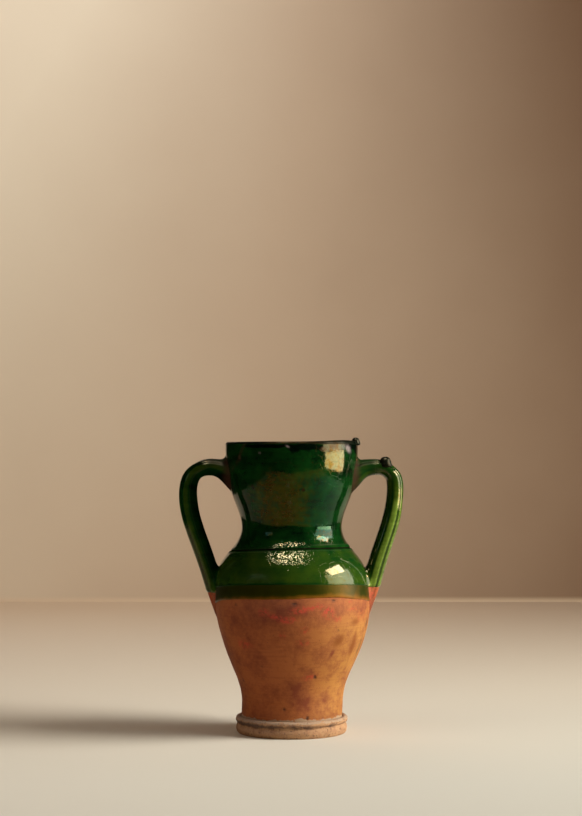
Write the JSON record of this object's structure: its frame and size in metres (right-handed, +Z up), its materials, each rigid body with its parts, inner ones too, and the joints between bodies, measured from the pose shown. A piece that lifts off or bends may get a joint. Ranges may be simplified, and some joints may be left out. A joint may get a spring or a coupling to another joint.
{
  "type": "two-handled earthenware jar",
  "caption": "Wide-mouthed earthenware jar with a waisted neck, rounded belly, moulded foot and strap handles, its upper half under green lead glaze.",
  "frame": {"origin": "centre of the foot's underside", "axes": "+Z up along the jar's axis from the underside to the mouth, X along the line through both handles with the beaded handle on +X, -Y towards the viewer"},
  "size_m": [0.2241, 0.1555, 0.2936],
  "materials": {
    "foot_clay": "rough earthenware with pale lime deposit",
    "belly_clay": "bare fired terracotta",
    "neck_clay": "fired terracotta under glaze",
    "handle_clay": "bare fired terracotta",
    "green_glaze": "glossy copper-green lead glaze",
    "olive_glaze": "thin satin olive glaze",
    "lining_glaze": "glossy green lead glaze",
    "dark_glaze": "glossy near-black pooled glaze"
  },
  "bodies": {
    "root": {"foot": "foot_clay", "belly": "belly_clay", "neck": "neck_clay", "left_handle": "handle_clay", "right_handle": "handle_clay", "green_coat": "green_glaze", "left_handle_coat": "green_glaze", "right_handle_coat": "green_glaze", "olive_band_front": "olive_glaze", "olive_band_back": "olive_glaze", "glaze_lining": "lining_glaze", "lip_bead": "dark_glaze", "crown_bead": "dark_glaze"}
  },
  "joints": []
}
